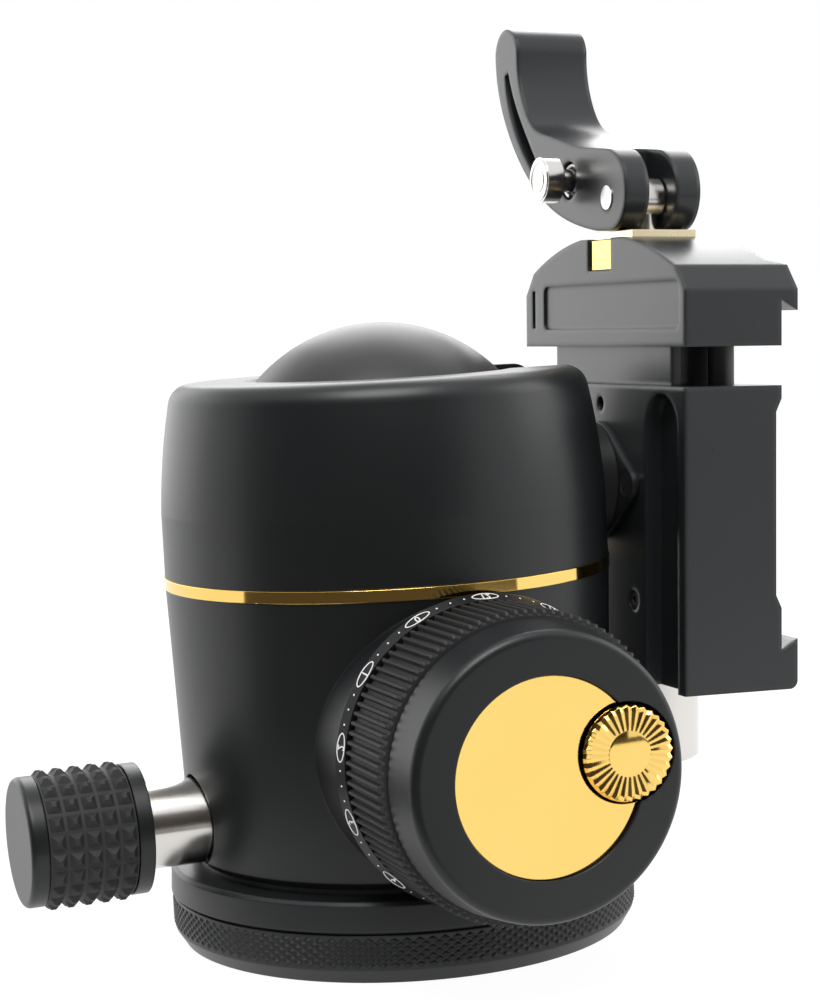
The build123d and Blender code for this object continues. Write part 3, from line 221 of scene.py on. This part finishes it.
# %% The ring tree
def ring_tree():
    """Group of nodes with named inputs; the object's own mesh is the shape that is copied."""
    tree = bpy.data.node_groups.new("ring_of_copies", "GeometryNodeTree")
    face = tree.interface
    face.new_socket("Shape", in_out="INPUT", socket_type="NodeSocketGeometry")
    for title, kind in (("Count", "Int"), ("Rows", "Int"), ("Row pitch", "Float"), ("Stagger", "Float"),
                        ("Start", "Float"), ("Merge", "Float"), ("Place", "Vector"), ("Turn", "Vector"),
                        ("Material", "Material")):
        face.new_socket(title, in_out="INPUT", socket_type="NodeSocket" + kind)
    face.new_socket("Mesh", in_out="OUTPUT", socket_type="NodeSocketGeometry")
    start = Wire(tree)
    shape = start.add("NodeGroupInput", {}, {}, out="Shape")
    count, rows = shape.other("Count"), shape.other("Rows")
    index = start.add("GeometryNodeInputIndex")
    row = start.maths("FLOOR", (index + 0.5) / count)
    angle = (index - row * count + row * shape.other("Stagger")) / count * math.tau + shape.other("Start")
    spot = start.add("ShaderNodeCombineXYZ", {}, {"Z": row * shape.other("Row pitch")})
    twist = start.add("ShaderNodeCombineXYZ", {}, {"Z": angle})
    points = start.add("GeometryNodePoints", {}, {"Count": count * rows, "Position": spot})
    copies = start.add("GeometryNodeInstanceOnPoints", {},
                       {"Points": points, "Instance": shape, "Rotation": twist})
    real = start.add("GeometryNodeRealizeInstances", {}, {"Geometry": copies})
    whole = start.add("GeometryNodeMergeByDistance", {}, {"Geometry": real, "Distance": shape.other("Merge")})
    placed = start.add("GeometryNodeTransform", {},
                       {"Geometry": whole, "Translation": shape.other("Place"),
                        "Rotation": shape.other("Turn")})
    coated = start.add("GeometryNodeSetMaterial", {},
                       {"Geometry": placed, "Material": shape.other("Material")})
    end = tree.nodes.new("NodeGroupOutput")
    tree.links.new(coated.socket, end.inputs["Mesh"])
    return tree


ring = ring_tree()
sockets = {item.name: item.identifier for item in ring.interface.items_tree if item.in_out == "INPUT"}
print("ring tree inputs:", ", ".join(sockets))

# %% Turning the tree's result into a plain piece
def tidy(mesh, sharp):
    """Close the mesh, point its faces outwards, and smooth all but its sharp edges."""
    work = bmesh.new()
    work.from_mesh(mesh)
    bmesh.ops.dissolve_degenerate(work, dist=0.0005 * mm, edges=work.edges)
    bmesh.ops.recalc_face_normals(work, faces=work.faces)
    work.to_mesh(mesh)
    work.free()
    mesh.shade_smooth()
    mesh.set_sharp_from_angle(angle=math.radians(sharp))


def ring_piece(name, shape, body, slot, material, sharp=35, **inputs):
    """Copy a shape round its axis and leave one plain mesh that rides on a body."""
    piece = bpy.data.objects.new(name, shape)
    scene.collection.objects.link(piece)
    maker = piece.modifiers.new("ring", "NODES")
    maker.node_group = ring
    values = {"Rows": 1, "Row pitch": 0.0, "Stagger": 0.0, "Start": 0.0, "Merge": 0.002 * mm,
              "Place": (0, 0, 0), "Turn": (0, 0, 0), "Material": material, **inputs}
    for title, value in values.items():
        maker[sockets[title]] = value
    bpy.context.view_layer.update()
    result = piece.evaluated_get(bpy.context.evaluated_depsgraph_get())
    mesh = bpy.data.meshes.new_from_object(result)
    piece.modifiers.remove(maker)
    piece.data = mesh
    mesh.name = name
    tidy(mesh, sharp)
    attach(piece, body)
    print(name, "has", len(mesh.polygons), "faces")
    return piece


# %% [markdown]
# ## Slices of turned pieces
# A ribbed grip is a turned tube whose outline swings in and out as it goes round. It is enough to build
# one slice, from the middle of one valley to the middle of the next: stations along the axis give the
# radius in the valley and on the crest, and a short list says how far up the crest each step across is.

# %% The slice builder
def slice_mesh(name, count, across, stations, closed):
    """One slice: across is (share of the slice, 0 valley to 1 crest); stations are valley and crest."""
    work = bmesh.new()
    rows = []
    for valley, crest in stations:
        row = []
        for share, up in across:
            angle = (share - 0.5) * math.tau / count
            r = (valley[0] + (crest[0] - valley[0]) * up) * mm
            z = (valley[1] + (crest[1] - valley[1]) * up) * mm
            row.append(work.verts.new((r * math.cos(angle), r * math.sin(angle), z)))
        rows.append(row)
    pairs = list(zip(rows, rows[1:])) + ([(rows[-1], rows[0])] if closed else [])
    for low, high in pairs:
        for i in range(len(across) - 1):
            work.faces.new((low[i], low[i + 1], high[i + 1], high[i]))
    mesh = bpy.data.meshes.new(name)
    work.to_mesh(mesh)
    work.free()
    return mesh


def plain(*stations):
    """Stations that are the same in the valley and on the crest."""
    return [(station, station) for station in stations]


knob_z = 24.37
pan_z = 15.0
facing_out = (math.radians(90), 0, 0)
facing_left = (0, math.radians(-90), 0)
print("main knob axis at", knob_z, "mm, pan knob axis at", pan_z, "mm")

# %% [markdown]
# ## The main knob's ribbed rubber grip
# The grip is a rubber sleeve moulded with about a hundred ribs that run along the axis, so that a thumb
# can turn it with gloves on. Each rib is a trapezium with rounded ends.

# %% Ribs
rib_count = 98
grip_back, grip_front = 28.5, 38.2
grip_bore, grip_valley, grip_crest = 13.2, 15.9, 16.42
rib_end = 0.3
rib_across = [(0, 0), (0.2, 0), (0.34, 0.9), (0.42, 1), (0.58, 1), (0.66, 0.9), (0.8, 0), (1, 0)]
rib_stations = (
    plain((grip_bore, grip_back))
    + [((grip_valley - 0.1, grip_back), (grip_crest - 0.35, grip_back)),
       ((grip_valley, grip_back + rib_end), (grip_crest, grip_back + rib_end)),
       ((grip_valley, grip_front - rib_end), (grip_crest, grip_front - rib_end)),
       ((grip_valley - 0.1, grip_front), (grip_crest - 0.35, grip_front))]
    + plain((grip_bore, grip_front))
)
rib = slice_mesh("rib", rib_count, rib_across, rib_stations, closed=True)
knob_sleeve = ring_piece("knob_grip_ribs", rib, "main_knob", "grip_rubber", finishes["grip_rubber"],
                         Count=rib_count, Place=(0, 0, knob_z * mm), Turn=facing_out)
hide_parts("knob_grip")

# %% [markdown]
# ## The pan knob's studded grip
# The small knob's sleeve has five rows of blunt pyramids instead of ribs. Its slice holds one column of
# five studs: every cell of the sleeve is a flat frame with four sloping sides and a small flat top.

# %% Studs
stud_count = 22
stud_rows = 5
sleeve_back, sleeve_front = 33.25, 43.1
sleeve_bore, sleeve_r, stud_r = 5.9, 7.2, 7.76
stud_margin, stud_top = 0.10, 0.38


def stud_slice():
    """One column of studs with the sleeve behind them, closed all round once it is copied."""
    work = bmesh.new()

    def corner(share, r, t):
        angle = (share - 0.5) * math.tau / stud_count
        return work.verts.new((r * mm * math.cos(angle), r * mm * math.sin(angle), t * mm))

    pitch = (sleeve_front - sleeve_back) / stud_rows
    for row in range(stud_rows):
        t0 = sleeve_back + row * pitch
        square = ((0, 0), (1, 0), (1, 1), (0, 1))
        frames = []
        for inset, r in ((0, sleeve_r), (stud_margin, sleeve_r), (stud_top, stud_r)):
            frames.append([corner(inset + (1 - 2 * inset) * a, r, t0 + pitch * (inset + (1 - 2 * inset) * b))
                           for a, b in square])
        for outer, inner in zip(frames, frames[1:]):
            for i in range(4):
                k = (i + 1) % 4
                work.faces.new((outer[i], outer[k], inner[k], inner[i]))
        work.faces.new(frames[-1])
    ring_ends = []
    for t in (sleeve_back, sleeve_front):
        outer = [corner(0, sleeve_r, t), corner(1, sleeve_r, t)]
        inner = [corner(0, sleeve_bore, t), corner(1, sleeve_bore, t)]
        work.faces.new((outer[0], outer[1], inner[1], inner[0]))
        ring_ends.append(inner)
    work.faces.new((ring_ends[0][0], ring_ends[0][1], ring_ends[1][1], ring_ends[1][0]))
    bmesh.ops.remove_doubles(work, verts=work.verts, dist=0.001 * mm)
    mesh = bpy.data.meshes.new("stud_column")
    work.to_mesh(mesh)
    work.free()
    return mesh


pan_sleeve = ring_piece("pan_grip_studs", stud_slice(), "pan_knob", "grip_rubber", finishes["grip_rubber"],
                        Count=stud_count, Place=(0, 0, pan_z * mm), Turn=facing_left)
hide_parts("pan_knob_grip")

# %% [markdown]
# ## Diamond knurling on the base
# The base is gripped by hand when it is screwed onto a tripod, so a band of it is knurled. A knurling
# wheel presses rows of small four-sided points into the metal, each row shifted by half a step. One
# point is a low pyramid whose foot sinks a hair into the band.

# %% Knurl points
knurl_columns, knurl_rows = 124, 7
knurl_r, knurl_low, knurl_high = 26.9, 1.75, 5.25
knurl_proud, knurl_sunk = 0.2, 0.05
knurl_pitch = (knurl_high - knurl_low) / (knurl_rows + 1)


def knurl_point():
    """A low pyramid on a diamond foot, pointing out along +X at the band's lowest row."""
    work = bmesh.new()
    wide = math.tau * knurl_r / knurl_columns / 2 * mm
    tall = knurl_pitch * mm
    foot = (knurl_r - knurl_sunk) * mm
    z = (knurl_low + knurl_pitch) * mm
    ring_of_four = [work.verts.new((foot, a * wide, z + b * tall))
                    for a, b in ((-1, 0), (0, -1), (1, 0), (0, 1))]
    tip = work.verts.new(((knurl_r + knurl_proud) * mm, 0, z))
    for i in range(4):
        work.faces.new((ring_of_four[i], ring_of_four[(i + 1) % 4], tip))
    work.faces.new(reversed(ring_of_four))
    mesh = bpy.data.meshes.new("knurl_point")
    work.to_mesh(mesh)
    work.free()
    return mesh


ring_piece("base_knurl", knurl_point(), "base", "black_anodised", finishes["black_anodised"], sharp=20,
           Count=knurl_columns, Rows=knurl_rows, Stagger=0.5, Merge=0.0, **{"Row pitch": knurl_pitch * mm})

# %% [markdown]
# ## The drag thumbscrew
# A small brass screw sets in the face of the knob. Its face is cut with radial serrations round a plain
# centre, which sparkle because each flank mirrors another part of the room. The slice runs from the
# centre out to the rim, down the side and back to the shank.

# %% Serrations
serration_count = 32
screw_face, screw_back, screw_end = 44.2, 40.1, 30.0
screw_r, screw_centre_r, shank_r = 5.0, 2.35, 1.5
ridge_up = 0.09
screw_circle_r, screw_angle = 8.7, math.radians(10.5)
screw_x = screw_circle_r * math.cos(screw_angle)
screw_z = knob_z + screw_circle_r * math.sin(screw_angle)
serration_across = [(0, 0), (0.5, 1), (1, 0)]
serration_stations = (
    plain((0, screw_end), (shank_r, screw_end), (shank_r, screw_back), (screw_r, screw_back),
          (screw_r, screw_face - 0.55))
    + [((screw_r - 0.32, screw_face - 0.25), (screw_r - 0.12, screw_face - 0.08)),
       ((screw_r - 0.75, screw_face - ridge_up), (screw_r - 0.55, screw_face + ridge_up)),
       ((screw_centre_r + 0.5, screw_face - ridge_up), (screw_centre_r + 0.5, screw_face + ridge_up * 0.8))]
    + plain((screw_centre_r, screw_face - 0.05), (screw_centre_r - 0.25, screw_face), (0, screw_face))
)
serration = slice_mesh("serration", serration_count, serration_across, serration_stations, closed=False)
thumbscrew = ring_piece("tension_thumbscrew", serration, "tension", "polished_brass",
                        finishes["polished_brass"], sharp=12, Count=serration_count,
                        Place=(screw_x * mm, 0, screw_z * mm), Turn=facing_out)
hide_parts("tension_screw")

# %% [markdown]
# ## The plunger's turned face
# The lever's safety plunger ends in a small button. Its face is turned with a raised rim, a shallow
# groove and a low middle, which mirror the room as thin rings. It is the same slice builder with
# nothing that swings, so every slice is alike and the result is simply a turned disc.

# %% Turned rings on the button
ball_z = 51.0
droop = math.radians(2.4)
button_b, button_c, button_depth = 10.6, 36.5, 25.1
button_slices = 48
button_place = Vector((button_depth * math.cos(droop) + button_c * math.sin(droop), button_b,
                       ball_z + button_c * math.cos(droop) - button_depth * math.sin(droop))) * mm
button_stations = plain((0, -0.05), (2.62, -0.05), (2.62, 0.03), (2.5, 0.14), (2.1, 0.16), (1.95, 0.04),
                        (1.55, 0.04), (1.4, 0.15), (0.7, 0.2), (0, 0.21))
button_slice = slice_mesh("button_slice", button_slices, [(0, 0), (1, 0)], button_stations, closed=False)
ring_piece("plunger_face_rings", button_slice, "plunger", "stainless", finishes["stainless"], sharp=25,
           Count=button_slices, Place=tuple(button_place), Turn=(0, droop - math.radians(90), 0))

# %% [markdown]
# ## Figures on the dial
# The dial behind the grip is a narrow sloping ring. Its scale is drawn flat first, with the length of
# the scale along X and the width of the ring along Y, and then wrapped onto the cone: a distance along
# X becomes an angle, and a distance along Y a step down the slope. Text is made a mesh before that.

# %% Wrapping flat artwork onto the cone
dial_back, dial_front = (17.0, 27.2), (16.4, 28.4)
dial_lift = 0.03
slope = Vector((dial_front[0] - dial_back[0], dial_front[1] - dial_back[1]))
slope_out = Vector((slope.y, -slope.x)).normalized()


def on_dial(x, y, angle):
    """The place on the dial of a flat point, x along the scale and y from its back edge, in mm."""
    share = y / slope.length
    r = dial_back[0] + slope.x * share + slope_out.x * dial_lift
    t = dial_back[1] + slope.y * share + slope_out.y * dial_lift
    turn = math.radians(angle) - x / dial_back[0]
    return Vector((r * math.cos(turn), -t, knob_z + r * math.sin(turn))) * mm


def figure_mesh(text, height):
    """Flat mesh of a figure, centred, with its triangles."""
    curve = bpy.data.curves.new("figure", "FONT")
    curve.body = text
    curve.size = height
    curve.align_x = "CENTER"
    curve.align_y = "CENTER"
    curve.resolution_u = 3
    curve.offset = 0.02
    lettering = bpy.data.objects.new("figure", curve)
    scene.collection.objects.link(lettering)
    bpy.context.view_layer.update()
    mesh = bpy.data.meshes.new_from_object(lettering.evaluated_get(bpy.context.evaluated_depsgraph_get()))
    bpy.data.objects.remove(lettering)
    return mesh


print("the scale is", round(slope.length, 2), "mm wide")

# %% Draw the scale
figure_count = 13
figure_step = 360 / figure_count
first_figure = 116.0
figure_height = 1.2
oval_half, oval_tall, oval_line = 1.6, 0.58, 0.16
dot_r, dot_corners = 0.12, 8
dot_shares = (0.3, 0.5, 0.7)
mid = slope.length / 2


def draw_scale():
    """All figures, ovals and dots of the scale in one flat-shaded mesh wrapped on the dial."""
    work = bmesh.new()

    def band(points_out, points_in, angle):
        count = len(points_out)
        a = [work.verts.new(on_dial(x, mid + y, angle)) for x, y in points_out]
        b = [work.verts.new(on_dial(x, mid + y, angle)) for x, y in points_in]
        for i in range(count):
            k = (i + 1) % count
            work.faces.new((a[i], a[k], b[k], b[i]))

    def oval(half, tall, steps=28):
        return [(half * math.cos(math.tau * i / steps), tall * math.sin(math.tau * i / steps))
                for i in range(steps)]

    for figure in range(figure_count):
        angle = first_figure + figure * figure_step
        band(oval(oval_half, oval_tall), oval(oval_half - oval_line, oval_tall - oval_line), angle)
        glyph = figure_mesh(str(figure), figure_height)
        spots = [work.verts.new(on_dial(v.co.x, mid + v.co.y, angle)) for v in glyph.vertices]
        for face in glyph.polygons:
            work.faces.new([spots[i] for i in face.vertices])
        for share in dot_shares:
            turned = angle + figure_step * share
            dot = oval(dot_r, dot_r, dot_corners)
            work.faces.new([work.verts.new(on_dial(x, mid + y, turned)) for x, y in dot])
    mesh = bpy.data.meshes.new("dial_scale")
    work.to_mesh(mesh)
    work.free()
    return mesh


scale_mesh = draw_scale()
for face in scale_mesh.polygons:
    centre = Vector((face.center.x, 0, face.center.z - knob_z * mm))
    if face.normal.dot(centre) < 0:
        face.flip()
dial_scale = bpy.data.objects.new("dial_scale", scale_mesh)
scene.collection.objects.link(dial_scale)
scale_mesh.materials.append(scale_paint)
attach(dial_scale, "main_knob")
print("the scale has", len(scale_mesh.polygons), "faces")

# %% [markdown]
# ## The studio
# A pale sweep and soft panels make a plain product studio. The head is black, so it shows its shape by
# what it mirrors: a large soft panel behind on the left draws the pale left edges, one above the camera
# lights the rims, one behind lights the tops, and dark cards round the camera's side keep the front
# dark. The backdrop is white for the camera and for mirrored rays alike.

# %% World and floor
room_light = 0.45
floor_glow, glow_share = 1.12, 0.85
paper_light, paper_dark = (0.83, 0.83, 0.83), (0.80, 0.80, 0.80)


def seen_rays(wire):
    """1 for rays from the camera, off a mirror or through glass, and 0 for the light that they gather."""
    path = wire.add("ShaderNodeLightPath", {}, {}, out="Is Camera Ray")
    bounced = wire.maths("MAXIMUM", path.other("Is Glossy Ray"), path.other("Is Transmission Ray"))
    return wire.maths("MAXIMUM", path, bounced)


world = bpy.data.worlds.new("studio")
scene.world = world
world.use_nodes = True
air = Wire(world.node_tree)
backdrop = world.node_tree.nodes["Background"]
backdrop.inputs["Color"].default_value = (1, 1, 1, 1)
strength = seen_rays(air) * (1 - room_light) + room_light
world.node_tree.links.new(strength.socket, backdrop.inputs["Strength"])

floor_finish = bpy.data.materials.new("studio_floor")
floor_finish.use_nodes = True
floor_tree = floor_finish.node_tree
paper = floor_tree.nodes["Principled BSDF"]
ground = Wire(floor_tree)
floor_place = ground.add("ShaderNodeTexCoord", {}, {}, out="Object")
grain = ground.add("ShaderNodeTexNoise", {}, {"Vector": floor_place, "Scale": 120.0})
paper_colour = mixed(ground, grain, paper_light, paper_dark)
floor_tree.links.new(paper_colour.socket, paper.inputs["Base Color"])
paper.inputs["Roughness"].default_value = 0.7
glow = ground.add("ShaderNodeEmission", {}, {"Color": (1, 1, 1, 1), "Strength": floor_glow})
blend = ground.add("ShaderNodeMixShader", {},
                   {0: seen_rays(ground) * glow_share, 1: Wire(floor_tree, paper.outputs[0]), 2: glow})
floor_tree.links.new(blend.socket, floor_tree.nodes["Material Output"].inputs["Surface"])
print("white backdrop for camera and mirrors, softer light for the rest")


def sheet(name, corners, material):
    """A flat stage piece through four points."""
    mesh = bpy.data.meshes.new(name)
    mesh.from_pydata(corners, [], [tuple(range(4))])
    piece = bpy.data.objects.new(name, mesh)
    scene.collection.objects.link(piece)
    mesh.materials.append(material)


reach = 30.0
sheet("floor", [(-reach, -reach, 0), (reach, -reach, 0), (reach, reach, 0), (-reach, reach, 0)], floor_finish)

# %% [markdown]
# ### Camera
# The camera stands a quarter of a metre away, a little left of the main knob and slightly above it, and
# looks down by five degrees. Its focal length is given in pixels for a frame 1000 pixels tall.

# %% Place the camera
focal_px, frame_px, sensor = 2318.58, 1000, 36.0
camera_at = Vector((-94.02, -251.57, 72.77)) * mm
side_turn, yaw, pitch, roll = (math.radians(x) for x in (20.49, 0.66, 4.97, -2.92))
forward = Vector((math.sin(yaw) * math.cos(pitch), math.cos(yaw) * math.cos(pitch), -math.sin(pitch)))
right = Vector((math.cos(yaw), -math.sin(yaw), 0))
up = right.cross(forward)
level = Matrix((right * math.cos(roll) + up * math.sin(roll),
                up * math.cos(roll) - right * math.sin(roll), -forward)).transposed()
camera = bpy.data.objects.new("camera", bpy.data.cameras.new("camera"))
scene.collection.objects.link(camera)
scene.camera = camera
camera.matrix_world = Matrix.Translation(camera_at) @ (Matrix.Rotation(-side_turn, 3, "Z") @ level).to_4x4()
camera.data.sensor_fit = "VERTICAL"
camera.data.sensor_height = sensor
camera.data.sensor_width = sensor
camera.data.lens = focal_px * sensor / frame_px
camera.data.clip_start, camera.data.clip_end = 0.01, 100.0
print("camera with a", round(camera.data.lens, 1), "mm lens")

# %% [markdown]
# ### Panels and cards
# A panel is placed by its direction from the head, so that it's easy to see which faces mirror it. The
# cards work the other way: they hide part of the white room from the mirrors, but not from the camera,
# and cast no shadow. They stop on the right, where the polished disc mirrors the bright floor.

# %% Lamps and dark cards
head_centre = Vector((0.005, 0, 0.05))


def panel(name, azimuth, elevation, distance, size, power):
    """A square soft panel aimed at the head; azimuth 0 is on its -Y side and 90 on its +X side."""
    a, e = math.radians(azimuth), math.radians(elevation)
    away = Vector((math.sin(a) * math.cos(e), -math.cos(a) * math.cos(e), math.sin(e)))
    lamp = bpy.data.lights.new(name, "AREA")
    lamp.shape = "SQUARE"
    lamp.size = size
    lamp.energy = power
    holder = bpy.data.objects.new(name, lamp)
    holder.location = head_centre + away * distance
    holder.rotation_euler = (-away).to_track_quat("-Z", "Y").to_euler()
    scene.collection.objects.link(holder)
    holder.visible_camera = False


panel("back_left_panel", -154, 8, 0.8, 0.8, 2.6)
panel("top_panel", -20, 60, 0.6, 0.34, 2.6)
panel("right_panel", 75, 25, 0.9, 0.5, 2.0)
panel("behind_panel", 152, 34, 0.8, 0.6, 3.6)

card_finish = bpy.data.materials.new("dark_card")
card_finish.use_nodes = True
card_finish.node_tree.nodes["Principled BSDF"].inputs["Base Color"].default_value = (0.03, 0.022, 0.016, 1)
card_finish.node_tree.nodes["Principled BSDF"].inputs["Roughness"].default_value = 0.9
card_r, card_top, card_foot = 0.6, 0.5, 0.001
near_r, far_r, floor_card_z = 0.075, 0.32, 0.0006
card_steps = 12


def card(name, first, last, low, high):
    """A bent dark card from one azimuth to another; low and high are (radius, height) in metres."""
    spots = []
    for i in range(card_steps + 1):
        a = math.radians(first + (last - first) * i / card_steps)
        spots += [(r * math.sin(a), -r * math.cos(a), z) for r, z in (low, high)]
    faces = [(2 * i, 2 * i + 2, 2 * i + 3, 2 * i + 1) for i in range(card_steps)]
    mesh = bpy.data.meshes.new(name)
    mesh.from_pydata(spots, [], faces)
    piece = bpy.data.objects.new(name, mesh)
    scene.collection.objects.link(piece)
    mesh.materials.append(card_finish)
    piece.visible_camera = False
    piece.visible_diffuse = False
    piece.visible_shadow = False


card("dark_wall", -95, 24, (card_r, card_foot), (card_r, card_top))
card("dark_floor_left", -95, 6, (near_r, floor_card_z), (card_r, floor_card_z))
card("dark_floor_right", 6, 45, (far_r, floor_card_z), (card_r, floor_card_z))
scene.view_settings.view_transform = "Standard"
print("four panels and three dark cards")

# %% [markdown]
# ## Finishing

# %% The last call
print("done")
